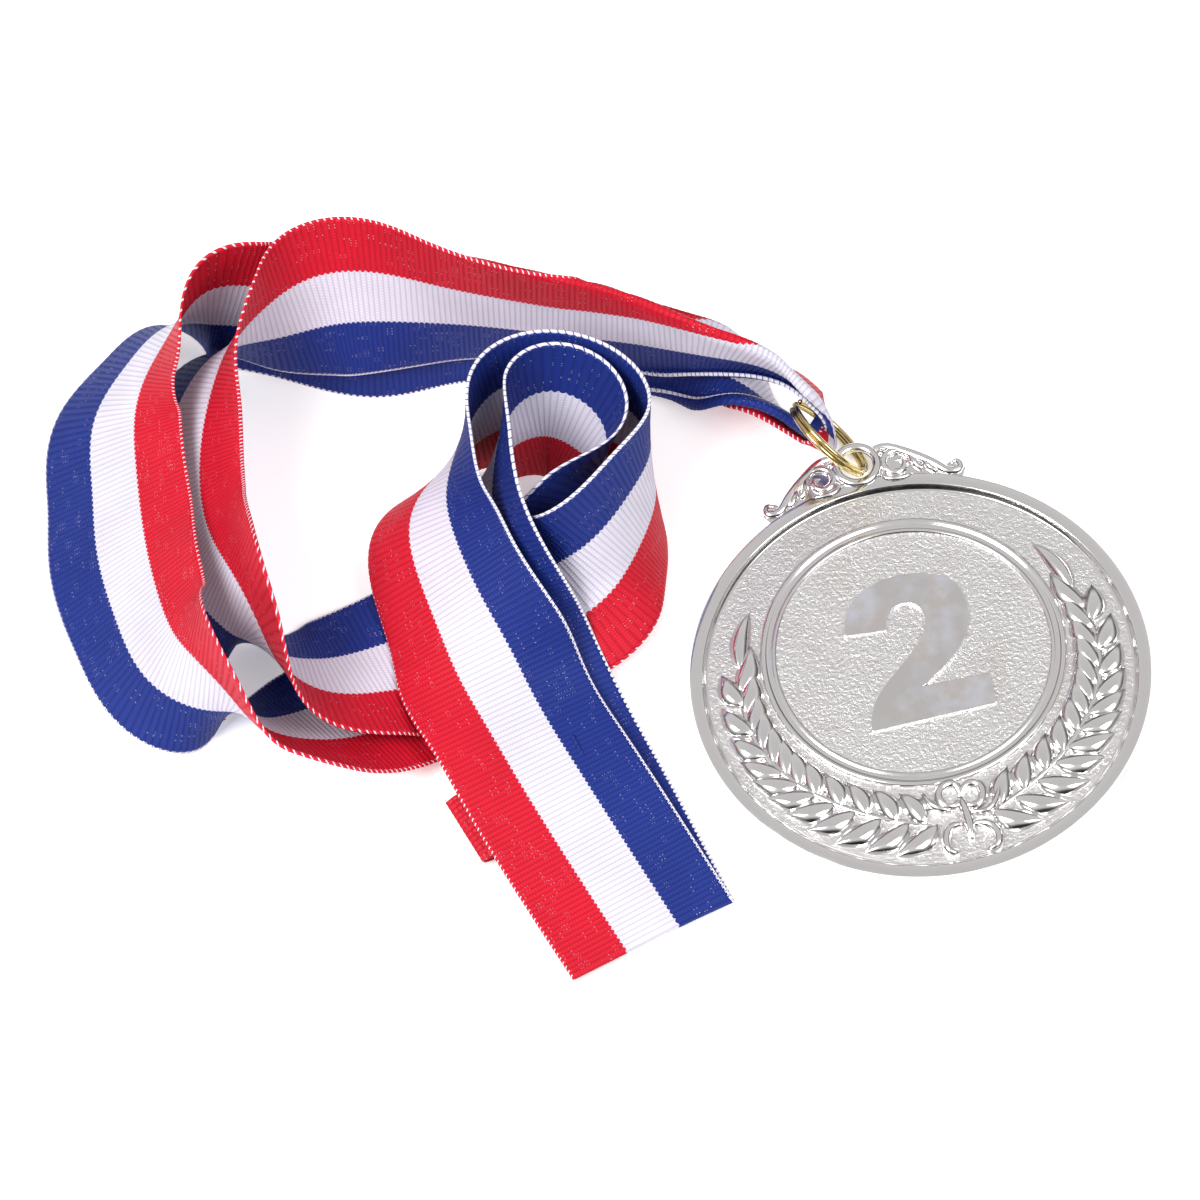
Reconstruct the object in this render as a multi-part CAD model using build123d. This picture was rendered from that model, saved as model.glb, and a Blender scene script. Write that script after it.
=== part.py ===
from build123d import *
import math
import os
import numpy as np

# Award medal lying on a table: a cast disc with a crest and an eyelet, a
# numeral insert, a two-turn split ring and one closed loop of woven ribbon.
# Millimetres. Origin at the middle of the disc's back face, +Z out of the
# front face, +Y towards the crest.

# Disc
disc_radius = 32.5
disc_thickness = 2.3
rim_width = 1.8
bevel_width = 0.5
field_level = 1.4
edge_break = 0.25
back_rim_width = 3.0
back_plate_radius = 19.0
back_recess_depth = 0.5

# Medallion and its insert
medallion_offset = 3.9
ridge_outer_radius = 21.6
ridge_inner_radius = 19.2
ridge_height = 0.7
insert_level = 1.5
insert_floor = 0.9
numeral_height = 0.6

# Wreath
leaf_length = 7.4
leaf_width = 2.7
leaf_height = 0.8
leaf_pairs = 11
wreath_radius = 26.0
wreath_first_angle = -77.0
wreath_last_angle = 25.0

# Crest and eyelet
crest_floor = 0.9
crest_thickness = 1.3
crest_relief = 0.5
eyelet_y = 35.0
eyelet_level = 2.2
eyelet_ring_radius = 2.95
eyelet_bar_radius = 0.75

# Split ring: two turns side by side
ring_centre = Vector(-3.1, 38.0, 6.48)
ring_axis = Vector(0.8035, 0.2988, 0.515).normalized()
ring_radius = 6.8
ring_wire_radius = 0.4
ring_turn_offset = 0.39

# Ribbon
ribbon_width = 25.0
ribbon_thickness = 0.5
gathered_thickness = 0.8
section_step = 3.2
ribbon_columns = 3
fold_radius = 0.5
tail_thickness = 0.25
tail_lift = 0.33

# The ribbon's route, station by station outwards from the split ring:
# x, y, z of the middle, the roll in degrees of the line from the blue edge to
# the red edge, and the width. The near half lies in front and on top.
near_half = [
    (-4.5, 41.5, 12.5, 64, 7.5),
    (-7.0, 45.0, 13.5, 68, 10.0),
    (-16.5, 50.0, 16.8, 80, 15.5),
    (-25.5, 55.0, 17.5, 87, 20.0),
    (-34.5, 59.5, 18.0, 88, 23.5),
    (-53.0, 68.0, 18.5, 101, 25.0),
    (-68.5, 73.5, 17.0, 119, 25.0),
    (-75.5, 72.5, 16.5, 96, 25.0),
    (-82.0, 70.5, 16.0, 66, 25.0),
    (-87.5, 66.0, 14.0, 50, 25.0),
    (-94.5, 42.0, 11.0, 46, 25.0),
    (-92.5, 34.0, 12.5, 55, 25.0),
    (-90.0, 27.0, 13.0, 79, 25.0),
    (-87.0, 22.5, 9.5, 120, 25.0),
    (-81.0, 20.0, 6.0, 155, 25.0),
    (-73.5, 20.5, 3.2, 171, 25.0),
    (-66.5, 21.5, 2.2, 182, 25.0),
    (-58.5, 23.0, 3.2, 188, 25.0),
    (-50.5, 22.8, 6.2, 204, 25.0),
    (-45.0, 22.8, 8.8, 218, 25.0),
    (-39.5, 24.2, 12.1, 237, 25.0),
    (-32.8, 30.0, 14.0, 253, 25.0),
    (-29.2, 37.0, 13.8, 270, 25.0),
    (-40.0, 50.0, 14.5, 291, 25.0),
    (-48.5, 50.5, 14.5, 279, 25.0),
    (-55.5, 45.5, 14.0, 254, 25.0),
    (-61.0, 38.0, 13.5, 228, 25.0),
    (-61.5, 29.5, 11.5, 221, 25.0),
    (-60.0, 19.5, 9.3, 208, 25.0),
    (-58.0, 10.5, 6.0, 178, 25.0),
    (-55.0, -1.0, 4.0, 176, 25.0),
    (-46.8, -29.8, 1.4, 178, 25.0),
]
far_half = [
    (-5.4, 40.5, 4.0, 243, 7.0),
    (-8.0, 43.5, 4.8, 243, 9.0),
    (-12.0, 48.5, 6.5, 215, 11.0),
    (-18.0, 54.4, 7.4, 130, 13.0),
    (-24.8, 57.8, 9.3, 106, 16.5),
    (-32.5, 61.5, 9.9, 105, 19.0),
    (-51.4, 68.8, 11.4, 109, 23.5),
    (-61.5, 71.2, 11.5, 116, 25.0),
    (-70.5, 75.5, 11.7, 113, 25.0),
    (-78.0, 78.0, 13.0, 104, 25.0),
    (-83.5, 78.5, 14.5, 93, 25.0),
    (-89.0, 77.0, 14.0, 61, 25.0),
    (-95.0, 73.0, 12.0, 48, 25.0),
    (-100.0, 67.0, 10.5, 38, 25.0),
    (-102.5, 57.5, 9.5, 36, 25.0),
    (-104.0, 47.5, 9.5, 32, 25.0),
    (-104.2, 36.0, 10.7, 39, 25.0),
    (-102.8, 26.5, 11.4, 47, 25.0),
    (-99.6, 20.8, 12.5, 64, 25.0),
    (-95.5, 16.3, 12.2, 97, 25.0),
    (-91.0, 12.8, 9.3, 130, 25.0),
    (-85.6, 12.6, 6.4, 153, 25.0),
    (-78.5, 14.5, 3.0, 170, 25.0),
    (-66.5, 19.0, 0.8, 181, 25.0),
    (-48.5, 25.0, 3.6, 195, 25.0),
    (-42.0, 29.6, 6.8, 211, 25.0),
    (-38.0, 34.6, 11.0, 243, 25.0),
    (-35.5, 40.0, 13.0, 280, 25.0),
    (-41.5, 48.0, 15.0, 290, 25.0),
    (-46.5, 47.0, 15.0, 274, 25.0),
    (-51.0, 42.0, 15.0, 253, 25.0),
    (-54.5, 35.5, 13.5, 234, 25.0),
    (-56.5, 19.5, 6.8, 196, 25.0),
    (-54.5, 10.5, 3.6, 177, 25.0),
    (-50.5, -9.0, 0.9, 179, 25.0),
    (-46.7, -29.1, 0.4, 180, 25.0),
]
# The gathered bight through the split ring, from the far half to the near
# half, as the blue edge point and the red edge point of each section.
bight = [
    ((-6.1, 39.1, 7.4), (-3.6, 39.8, 1.5)),
    ((-5.4, 39.7, 7.9), (-2.6, 37.6, 3.4)),
    ((-4.4, 40.6, 8.5), (-2.4, 37.0, 7.1)),
    ((-3.7, 41.6, 9.0), (-3.0, 38.3, 10.8)),
]
# The lower seam tail's two ends, each from its blue side to its red side.
tail_north = ((-50.5, 2.5, 3.0), (-69.2, -2.6, 3.65))
tail_south = ((-48.0, -8.5, 1.75), (-66.3, -12.3, 2.05))


def smooth_curve(knots, values, samples):
    """Natural cubic spline through the values at the knots, read at the samples."""
    count = len(knots)
    gaps = np.diff(knots)
    matrix = np.eye(count)
    right = np.zeros_like(values)
    for i in range(1, count - 1):
        matrix[i, i - 1:i + 2] = (gaps[i - 1], 2 * (gaps[i - 1] + gaps[i]), gaps[i])
        slope_change = (values[i + 1] - values[i]) / gaps[i] - (values[i] - values[i - 1]) / gaps[i - 1]
        right[i] = 6 * slope_change
    bend = np.linalg.solve(matrix, right)
    span = np.clip(np.searchsorted(knots, samples, side="right") - 1, 0, count - 2)
    after = ((samples - knots[span]) / gaps[span])[:, None]
    before = 1 - after
    cubic = (before**3 - before) * bend[span] + (after**3 - after) * bend[span + 1]
    return before * values[span] + after * values[span + 1] + cubic * gaps[span, None] ** 2 / 6


def route_edges(stations, step):
    """Blue and red edge points along one half of the ribbon, step millimetres apart."""
    table = np.array(stations)
    runs = np.linalg.norm(np.diff(table[:, :3], axis=0), axis=1)
    knots = np.concatenate([[0], np.cumsum(runs)])
    samples = np.linspace(0, knots[-1], round(knots[-1] / step) + 1)
    middle = smooth_curve(knots, table[:, :3], samples)
    roll, width = smooth_curve(knots, table[:, 3:], samples).T
    along = np.gradient(middle, axis=0)
    along /= np.linalg.norm(along, axis=1)[:, None]
    level = np.cross((0, 0, 1), along)
    level /= np.linalg.norm(level, axis=1)[:, None]
    steep = np.cross(along, level)
    angle = np.radians(roll)[:, None]
    across = np.cos(angle) * level + np.sin(angle) * steep
    half = np.minimum(width, ribbon_width)[:, None] / 2
    return list(zip(middle - across * half, middle + across * half))


def end_fold(last_near, last_far):
    """Sections round the fold where the near half turns under into the far half."""
    sections = []
    for turn in (40, 90, 140):
        lift = 0.5 + 0.5 * math.cos(math.radians(turn))
        reach = fold_radius * math.sin(math.radians(turn))
        pair = []
        for top, under in zip(last_near, last_far):
            point = under + (top - under) * lift
            pair.append(point + np.array((0.26, -0.96, 0)) * reach)
        sections.append(tuple(pair))
    return sections


def section_frames(sections):
    """Each section's outline, offset by half the thickness along the face normal."""
    blue = np.array([s[0] for s in sections], float)
    red = np.array([s[1] for s in sections], float)
    middle = (blue + red) / 2
    along = np.gradient(middle, axis=0)
    across = red - blue
    width = np.linalg.norm(across, axis=1)
    normal = np.cross(across, along)
    normal /= np.linalg.norm(normal, axis=1)[:, None]
    flat = np.clip((width - 10) / 8, 0, 1)
    thickness = gathered_thickness + (ribbon_thickness - gathered_thickness) * flat
    return [slab_section(*row) for row in zip(blue, red, normal * thickness[:, None] / 2)]


def slab_section(blue, red, offset):
    """Points round one section: along the underside to the red edge and back over the top."""
    row = [blue + (red - blue) * i / ribbon_columns for i in range(ribbon_columns + 1)]
    return [p - offset for p in row] + [p + offset for p in row[::-1]]


def ribbon_solid(sections):
    """A closed shell of flat triangles through the sections."""
    rings = [[Vector(*p) for p in section] for section in sections]
    count = len(rings[0])
    triangles = []
    for i in range(ribbon_columns):
        low, high = (i, i + 1), (count - 1 - i, count - 2 - i)
        for ring, order in ((rings[0], 1), (rings[-1], -1)):
            quad = [ring[low[0]], ring[high[0]], ring[high[1]], ring[low[1]]][::order]
            triangles += [(quad[0], quad[1], quad[2]), (quad[0], quad[2], quad[3])]
    for here, there in zip(rings[:-1], rings[1:]):
        for i in range(count):
            k = (i + 1) % count
            # Both broad faces take the same diagonal, so the thickness stays even.
            if i <= ribbon_columns:
                triangles += [(here[i], here[k], there[k]), (here[i], there[k], there[i])]
            else:
                triangles += [(here[i], here[k], there[i]), (here[k], there[k], there[i])]
    solid = Solid(Shell([Face(Wire.make_polygon(corners, close=True)) for corners in triangles]))
    return solid if solid.volume > 0 else Solid(solid.wrapped.Reversed())


def ribbon_stretches():
    """The closed loop cut into stretches that meet face to face."""
    near = route_edges(near_half, section_step)
    far = route_edges(far_half, section_step)
    fold = end_fold(near[-1], far[-1])
    loop = near + fold + far[::-1] + [tuple(np.array(p) for p in pair) for pair in bight]
    corners = section_frames(loop + loop[:1])
    parts = {}
    near_cuts = np.linspace(0, len(near) - 1, 9).round().astype(int)
    for i, (start, end) in enumerate(zip(near_cuts[:-1], near_cuts[1:]), 1):
        parts[f"ribbon_near_{i}"] = ribbon_solid(corners[start:end + 1])
    fold_end = len(near) + len(fold)
    parts["ribbon_end_fold"] = ribbon_solid(corners[len(near) - 1:fold_end + 1])
    far_cuts = fold_end + np.linspace(0, len(far) - 1, 9).round().astype(int)
    for i, (start, end) in enumerate(zip(far_cuts[:-1], far_cuts[1:]), 1):
        parts[f"ribbon_far_{i}"] = ribbon_solid(corners[start:end + 1])
    parts["ribbon_bight"] = ribbon_solid(corners[far_cuts[-1]:])
    return parts


def seam_tails():
    """The two sewn ends of the strip, lying between the halves and poking out at the red edge."""
    parts = {}
    for i in range(2):
        shift = np.array((0.7 * i, 0.2 * i, tail_lift * i))
        north = [np.array(p) + shift for p in tail_north]
        south = [np.array(p) + shift for p in tail_south]
        offset = np.array((0, 0, tail_thickness / 2))
        parts[f"seam_tail_{i + 1}"] = ribbon_solid([slab_section(*end, offset) for end in (north, south)])
    return parts


def disc():
    """Turned disc: raised rim, bevel, sunk field, and a shallow ring-shaped recess on the back."""
    rim_inner = disc_radius - rim_width
    field_radius = rim_inner - bevel_width
    outline = Polyline(
        (0, 0),
        (back_plate_radius, 0),
        (back_plate_radius, back_recess_depth),
        (disc_radius - back_rim_width, back_recess_depth),
        (disc_radius - back_rim_width, 0),
        (disc_radius - edge_break, 0),
        (disc_radius, edge_break),
        (disc_radius, disc_thickness - edge_break),
        (disc_radius - edge_break, disc_thickness),
        (rim_inner, disc_thickness),
        (field_radius, field_level),
        (0, field_level),
        close=True,
    )
    return revolve(Plane.XZ * make_face(outline), Axis.Z)


def medallion_ridge():
    """Double ridge round the insert."""
    ridge = Part()
    middle = (ridge_outer_radius + ridge_inner_radius) / 2
    for inner, outer in ((ridge_inner_radius, middle - 0.15), (middle + 0.15, ridge_outer_radius)):
        band = Circle(outer) - Circle(inner)
        ridge += extrude(Pos(0, medallion_offset, field_level - 0.2) * band, ridge_height + 0.2)
    return ridge


def leaf(length, width, height):
    """One leaf: a lens shape with a ridge-like sloping wall."""
    outline = ThreePointArc((0, 0), (length / 2, -width / 2), (length, 0))
    outline += ThreePointArc((length, 0), (length / 2, width / 2), (0, 0))
    return extrude(make_face(outline), height, taper=12)


def wreath():
    """Two branches of leaf pairs and the bow that ties them."""
    one_leaf = leaf(leaf_length, leaf_width, leaf_height)
    leaves = Part()
    for i in range(leaf_pairs):
        angle = wreath_first_angle + (wreath_last_angle - wreath_first_angle) * i / (leaf_pairs - 1)
        x = (wreath_radius - 0.8) * math.cos(math.radians(angle))
        y = (wreath_radius - 0.8) * math.sin(math.radians(angle))
        for lean in (-24, 34):
            leaves += Location((x, y, field_level - 0.05), (0, 0, angle + 90 - lean)) * one_leaf
    branch = leaves & Pos(0, 0, field_level - 0.1) * Cylinder(
        disc_radius - rim_width, 3, align=(Align.CENTER, Align.CENTER, Align.MIN)
    )
    return branch + mirror(branch, Plane.YZ)


def bow():
    """The tied ribbon at the foot of the wreath."""
    shapes = Part()
    for side in (-1, 1):
        loop = Circle(1.6) - Circle(0.8)
        shapes += extrude(Pos(side * 1.7, -20.4, field_level - 0.05) * loop, leaf_height + 0.1)
        tail = Location((side * 1.7, -27.0, field_level - 0.05), (0, 0, side * 20)) * Ellipse(0.9, 2.2)
        shapes += extrude(tail, leaf_height)
    band = Pos(0, -24.2, field_level - 0.05) * RectangleRounded(1.6, 6.0, 0.7)
    return shapes + extrude(band, leaf_height + 0.2)


def crest():
    """Scrolled crest on the top edge with the eyelet's bar standing on it."""
    outline = Polyline(
        (0, 30.0), (16.0, 27.6), (15.6, 30.0), (14.4, 31.8), (12.2, 31.6), (10.6, 33.2),
        (8.8, 34.8), (6.8, 36.2), (4.6, 37.0), (0, 36.2),
    )
    half = make_face(outline + Line((0, 36.2), (0, 30.0)))
    plate = extrude(Pos(0, 0, crest_floor) * half, crest_thickness)
    plate += mirror(plate, Plane.YZ)
    for side in (-1, 1):
        for x, y, size in ((13.2, 30.3, 1.7), (9.4, 32.6, 1.9), (6.4, 34.2, 1.8)):
            scroll = Circle(size) - Circle(size - 0.7)
            plate += extrude(Pos(side * x, y, crest_floor + crest_thickness - 0.1) * scroll, crest_relief)
    plate -= Pos(0, 0, disc_thickness) * Cylinder(disc_radius - 1.2, 4)
    return plate


def eyelet():
    return Pos(0, eyelet_y, eyelet_level) * Torus(eyelet_ring_radius, eyelet_bar_radius)


def ring_clearance():
    """Room for the split ring through the eyelet and past the crest's top edge."""
    hole = Pos(0, eyelet_y, 0) * Cylinder(eyelet_ring_radius, 10)
    notch = Pos(0, eyelet_y + 3.0, 0) * Box(7.4, 6.0, 10)
    return hole + notch


def medal_casting():
    body = disc() + medallion_ridge() + wreath() + bow()
    body += crest() - ring_clearance()
    body += eyelet()
    recess = Pos(0, medallion_offset, insert_floor) * Cylinder(
        ridge_inner_radius, 3, align=(Align.CENTER, Align.CENTER, Align.MIN)
    )
    return body - recess


def numeral_face():
    """Outline of the figure, as one closed face."""
    curve = Spline(
        (-8.6, 9.1), (-7.3, 12.6), (-3.8, 15.3), (0.6, 16.1), (5.2, 15.3), (8.4, 12.8), (9.2, 8.8),
        (8.0, 4.8), (5.2, 1.5), (-0.1, -2.1),
    )
    foot = Polyline((-0.1, -2.1), (9.2, -2.3), (9.1, -7.1), (-8.8, -7.1), (-8.6, -5.6))
    inner = Spline((-8.6, -5.6), (-7.2, -2.6), (-4.2, 0.4), (0.2, 4.1), (2.5, 6.6), (2.9, 8.8), (2.4, 10.7),
                   (1.0, 11.6), (-0.8, 11.3), (-2.2, 10.0), (-2.9, 8.3))
    return make_face(curve + foot + inner + Line((-2.9, 8.3), (-8.6, 9.1)))


def numeral_insert():
    plate = Pos(0, medallion_offset, insert_floor) * Cylinder(
        ridge_inner_radius, insert_level - insert_floor, align=(Align.CENTER, Align.CENTER, Align.MIN)
    )
    return plate + extrude(Pos(0, 0, insert_level - 0.1) * numeral_face(), numeral_height + 0.1)


def split_ring():
    """Two turns of round wire pressed side by side."""
    frame = Plane(origin=ring_centre, z_dir=ring_axis)
    turns = Part()
    for side in (-1, 1):
        turns += frame * Pos(0, 0, side * ring_turn_offset) * Torus(ring_radius, ring_wire_radius)
    return turns


def main():
    os.makedirs("parts", exist_ok=True)
    nodes = {
        "medal_casting": medal_casting(),
        "numeral_insert": numeral_insert(),
        "split_ring": split_ring(),
    }
    nodes.update(ribbon_stretches())
    nodes.update(seam_tails())
    for name, shape in nodes.items():
        export_step(shape, f"parts/{name}.step")


main()
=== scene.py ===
import math

import bmesh
import bpy
import numpy as np
from mathutils import Matrix, Vector


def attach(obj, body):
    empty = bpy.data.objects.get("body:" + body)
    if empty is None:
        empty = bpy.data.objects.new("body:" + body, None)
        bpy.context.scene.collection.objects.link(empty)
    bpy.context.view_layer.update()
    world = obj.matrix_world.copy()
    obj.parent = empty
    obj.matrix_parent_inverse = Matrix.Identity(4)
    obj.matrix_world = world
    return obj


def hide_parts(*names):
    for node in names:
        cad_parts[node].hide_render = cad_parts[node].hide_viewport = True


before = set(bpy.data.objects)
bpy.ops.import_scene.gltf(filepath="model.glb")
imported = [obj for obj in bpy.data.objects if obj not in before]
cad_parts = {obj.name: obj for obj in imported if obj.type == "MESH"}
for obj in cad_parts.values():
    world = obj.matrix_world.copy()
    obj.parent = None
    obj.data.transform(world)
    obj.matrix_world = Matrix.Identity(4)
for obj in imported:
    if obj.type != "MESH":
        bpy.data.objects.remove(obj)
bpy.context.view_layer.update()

# Award medal on a split ring with a folded three-stripe neck ribbon. Shapes
# are written in millimetres and turned into metres when a mesh is made.
MM = 0.001

# Ribbon
ribbon_width = 25.0
band_width = ribbon_width / 3
ribbon_thickness = 0.4
rib_pitch = 0.78
rows_per_rib = 3
rib_height = 0.09
thread_pitch = 0.46
edge_cord_radius = 0.3
curl_radius = 0.42
fold_radius = 0.5
fold_direction = np.array((0.26, -0.96, 0))
flap_share = 0.2
flap_limit = 3.6
tail_lift = 0.33

# Disc, medallion and insert
disc_radius = 32.5
disc_top = 2.3
field_level = 1.4
field_radius = 29.9
field_skin = 0.03
medallion_centre = (0.0, 3.9)
insert_radius = 19.3
insert_level = 1.5
numeral_top = 2.05

# Wreath
leaf_half_width = 1.9
leaf_dome = 1.3
spine_depth = 0.14
spine_width = 0.16

# Eyelet and split ring
eyelet_centre = (0.0, 35.0, 2.2)
eyelet_radius = 2.95
eyelet_bar = 0.72
ring_centre = Vector((-3.1, 38.0, 6.48))
ring_axis = Vector((0.8035, 0.2988, 0.515)).normalized()
ring_radius = 6.8
ring_wire_radius = 0.4
ring_turn_offset = 0.39

# The ribbon's route, station by station outwards from the split ring:
# x, y, z of the middle, the roll in degrees of the line from the blue edge to
# the red edge, and the width that is left flat.
near_half = [
    (-4.5, 41.5, 12.5, 64, 7.5),
    (-7.0, 45.0, 13.5, 68, 10.0),
    (-16.5, 50.0, 16.8, 80, 15.5),
    (-25.5, 55.0, 17.5, 87, 20.0),
    (-34.5, 59.5, 18.0, 88, 23.5),
    (-53.0, 68.0, 18.5, 101, 25.0),
    (-68.5, 73.5, 17.0, 119, 25.0),
    (-75.5, 72.5, 16.5, 96, 25.0),
    (-82.0, 70.5, 16.0, 66, 25.0),
    (-87.5, 66.0, 14.0, 50, 25.0),
    (-94.5, 42.0, 11.0, 46, 25.0),
    (-92.5, 34.0, 12.5, 55, 25.0),
    (-90.0, 27.0, 13.0, 79, 25.0),
    (-87.0, 22.5, 9.5, 120, 25.0),
    (-81.0, 20.0, 6.0, 155, 25.0),
    (-73.5, 20.5, 3.2, 171, 25.0),
    (-66.5, 21.5, 2.2, 182, 25.0),
    (-58.5, 23.0, 3.2, 188, 25.0),
    (-50.5, 22.8, 6.2, 204, 25.0),
    (-45.0, 22.8, 8.8, 218, 25.0),
    (-39.5, 24.2, 12.1, 237, 25.0),
    (-32.8, 30.0, 14.0, 253, 25.0),
    (-29.2, 37.0, 13.8, 270, 25.0),
    (-40.0, 50.0, 14.5, 291, 25.0),
    (-48.5, 50.5, 14.5, 279, 25.0),
    (-55.5, 45.5, 14.0, 254, 25.0),
    (-61.0, 38.0, 13.5, 228, 25.0),
    (-61.5, 29.5, 11.5, 221, 25.0),
    (-60.0, 19.5, 9.3, 208, 25.0),
    (-58.0, 10.5, 6.0, 178, 25.0),
    (-55.0, -1.0, 4.0, 176, 25.0),
    (-46.8, -29.8, 1.4, 178, 25.0),
]
far_half = [
    (-5.4, 40.5, 4.0, 243, 7.0),
    (-8.0, 43.5, 4.8, 243, 9.0),
    (-12.0, 48.5, 6.5, 215, 11.0),
    (-18.0, 54.4, 7.4, 130, 13.0),
    (-24.8, 57.8, 9.3, 106, 16.5),
    (-32.5, 61.5, 9.9, 105, 19.0),
    (-51.4, 68.8, 11.4, 109, 23.5),
    (-61.5, 71.2, 11.5, 116, 25.0),
    (-70.5, 75.5, 11.7, 113, 25.0),
    (-78.0, 78.0, 13.0, 104, 25.0),
    (-83.5, 78.5, 14.5, 93, 25.0),
    (-89.0, 77.0, 14.0, 61, 25.0),
    (-95.0, 73.0, 12.0, 48, 25.0),
    (-100.0, 67.0, 10.5, 38, 25.0),
    (-102.5, 57.5, 9.5, 36, 25.0),
    (-104.0, 47.5, 9.5, 32, 25.0),
    (-104.2, 36.0, 10.7, 39, 25.0),
    (-102.8, 26.5, 11.4, 47, 25.0),
    (-99.6, 20.8, 12.5, 64, 25.0),
    (-95.5, 16.3, 12.2, 97, 25.0),
    (-91.0, 12.8, 9.3, 130, 25.0),
    (-85.6, 12.6, 6.4, 153, 25.0),
    (-78.5, 14.5, 3.0, 170, 25.0),
    (-66.5, 19.0, 0.8, 181, 25.0),
    (-48.5, 25.0, 3.6, 195, 25.0),
    (-42.0, 29.6, 6.8, 211, 25.0),
    (-38.0, 34.6, 11.0, 243, 25.0),
    (-35.5, 40.0, 13.0, 280, 25.0),
    (-41.5, 48.0, 15.0, 290, 25.0),
    (-46.5, 47.0, 15.0, 274, 25.0),
    (-51.0, 42.0, 15.0, 253, 25.0),
    (-54.5, 35.5, 13.5, 234, 25.0),
    (-56.5, 19.5, 6.8, 196, 25.0),
    (-54.5, 10.5, 3.6, 177, 25.0),
    (-50.5, -9.0, 0.9, 179, 25.0),
    (-46.7, -29.1, 0.4, 180, 25.0),
]
# The gathered bight through the split ring, as blue and red edge points.
bight = [
    ((-6.1, 39.1, 7.4), (-3.6, 39.8, 1.5)),
    ((-5.4, 39.7, 7.9), (-2.6, 37.6, 3.4)),
    ((-4.4, 40.6, 8.5), (-2.4, 37.0, 7.1)),
    ((-3.7, 41.6, 9.0), (-3.0, 38.3, 10.8)),
]
# The lower seam tail's two ends, each from its blue side to its red side.
tail_north = ((-50.5, 2.5, 3.0), (-69.2, -2.6, 3.65))
tail_south = ((-48.0, -8.5, 1.75), (-66.3, -12.3, 2.05))

# Right branch of the wreath, leaf by leaf: base x, y and tip x, y.
outer_leaves = [
    (24.3, 7.2, 20.6, 16.3), (25.2, 1.6, 27.0, 7.6), (25.0, -3.1, 28.4, 2.4),
    (24.0, -7.0, 28.4, -2.6), (22.6, -10.3, 28.0, -6.6), (20.9, -12.6, 27.1, -10.0),
    (19.0, -14.7, 25.8, -13.2), (16.7, -16.9, 23.9, -16.4), (14.2, -18.8, 21.6, -19.6),
    (11.0, -20.8, 18.6, -22.8), (7.4, -22.5, 14.9, -25.2), (3.6, -23.7, 10.8, -27.0),
]
inner_leaves = [
    (25.3, 4.0, 21.8, 11.0), (25.4, 0.6, 22.6, 7.0), (25.1, -2.6, 22.9, 3.7),
    (24.5, -5.5, 23.0, 1.2), (23.4, -8.3, 22.6, -1.5), (22.2, -10.6, 21.8, -4.0),
    (20.8, -12.7, 20.8, -6.3), (18.9, -14.9, 19.3, -8.7), (16.0, -17.5, 17.2, -11.4),
    (12.9, -19.7, 14.4, -13.7), (9.2, -21.8, 11.2, -15.8), (5.4, -23.2, 7.9, -17.4),
]
stem_line = [(23.5, 11.0), (25.3, 1.1), (24.0, -7.4), (19.7, -13.9), (12.1, -20.0), (3.3, -24.1)]

# Bow: half-width and the points of each strand.
bow_strands = [
    (0.62, [(-1.4, -22.3), (-3.2, -21.5), (-4.3, -20.1), (-4.8, -18.3)]),
    (0.62, [(0.9, -22.9), (3.2, -23.6), (5.0, -22.2), (6.2, -19.5)]),
    (0.8, [(0.1, -20.6), (-1.0, -21.6), (-2.3, -21.0), (-2.6, -19.4), (-1.6, -18.3), (-0.3, -18.2),
           (0.4, -19.5), (-0.1, -20.8)]),
    (0.8, [(0.5, -20.7), (1.0, -22.0), (2.3, -22.2), (3.4, -20.8), (3.1, -19.2), (1.8, -18.8),
           (0.7, -19.6), (0.4, -20.9)]),
    (0.75, [(-0.6, -24.6), (-2.0, -24.7), (-3.3, -26.2), (-3.1, -28.6), (-2.1, -28.8)]),
    (0.75, [(0.8, -25.0), (2.7, -25.5), (3.8, -27.3), (3.4, -29.0), (1.8, -29.5)]),
    (0.9, [(0.2, -20.2), (0.4, -22.6), (0.4, -24.9), (0.1, -27.4)]),
]

# Crest: the plate's right edge from the eyelet outwards, and its strands.
crest_edge = [
    (2.9, 37.6), (4.3, 37.6), (5.7, 37.2), (7.6, 36.0), (9.2, 34.6), (10.9, 33.0), (12.0, 31.7),
    (13.1, 32.3), (14.4, 31.9), (14.9, 30.6), (14.2, 29.4), (13.0, 28.2),
]
crest_strands = [
    (0.72, [(2.4, 36.9), (4.2, 37.1), (6.6, 35.9), (9.0, 34.0), (11.2, 31.9), (12.8, 30.6), (14.2, 31.0),
            (13.9, 32.0), (13.0, 31.7)]),
    (0.62, [(7.8, 34.6), (6.6, 35.7), (4.6, 35.6), (3.7, 34.0), (4.6, 32.6), (6.2, 32.7), (6.7, 33.9),
            (5.6, 34.4)]),
    (0.5, [(7.6, 35.0), (7.9, 33.6), (8.9, 31.8)]),
    (0.5, [(9.2, 33.6), (9.7, 32.4), (10.8, 30.9)]),
    (0.45, [(2.7, 33.0), (3.6, 31.8), (5.4, 31.3), (7.4, 31.6)]),
    (0.4, [(3.2, 36.6), (3.8, 35.8), (4.3, 36.4)]),
]


# ---------------------------------------------------------------- curves


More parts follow.
